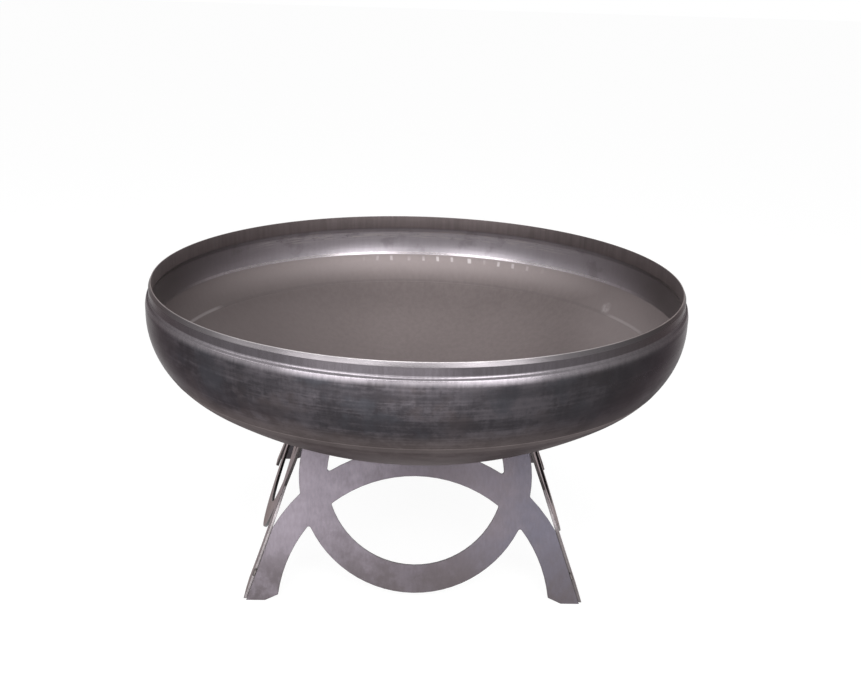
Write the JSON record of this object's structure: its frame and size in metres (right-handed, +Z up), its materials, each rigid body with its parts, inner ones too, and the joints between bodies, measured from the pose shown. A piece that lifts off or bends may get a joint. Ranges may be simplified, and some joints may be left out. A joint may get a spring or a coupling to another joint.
{
  "type": "fire pit",
  "caption": "Open wood fire pit: a dished steel bowl with a stepped rim, resting in a square base of leaning ring-and-arch plates.",
  "frame": {"origin": "on the floor, at the centre of the square base and under the centre of the bowl", "axes": "+Z up along the bowl's axis; -Y towards the front plate, +X towards the right-hand plate"},
  "size_m": [0.9144, 0.9144, 0.4763],
  "materials": {
    "bowl_steel": "raw hot-rolled mild steel, dark mottled mill scale with heat tint, satin",
    "plate_steel": "raw hot-rolled mild steel plate, blue-grey mill scale, bright cut edges, satin",
    "weld_steel": "dark weld metal, satin"
  },
  "bodies": {
    "base": {"base_plate_front": "plate_steel", "base_plate_right": "plate_steel", "base_plate_back": "plate_steel", "base_plate_left": "plate_steel", "fillet_weld_front_left": "weld_steel", "fillet_weld_right_front": "weld_steel", "fillet_weld_back_right": "weld_steel", "fillet_weld_left_back": "weld_steel", "tack_weld_front_left": "weld_steel", "tack_weld_right_front": "weld_steel", "tack_weld_back_right": "weld_steel", "tack_weld_left_back": "weld_steel"},
    "bowl": {"fire_bowl": "bowl_steel"}
  },
  "joints": [
    {"name": "bowl_lift", "type": "slide", "parent": "base", "child": "bowl", "axis": [0, 0, 1], "range_m": [0, 0.3]}
  ]
}
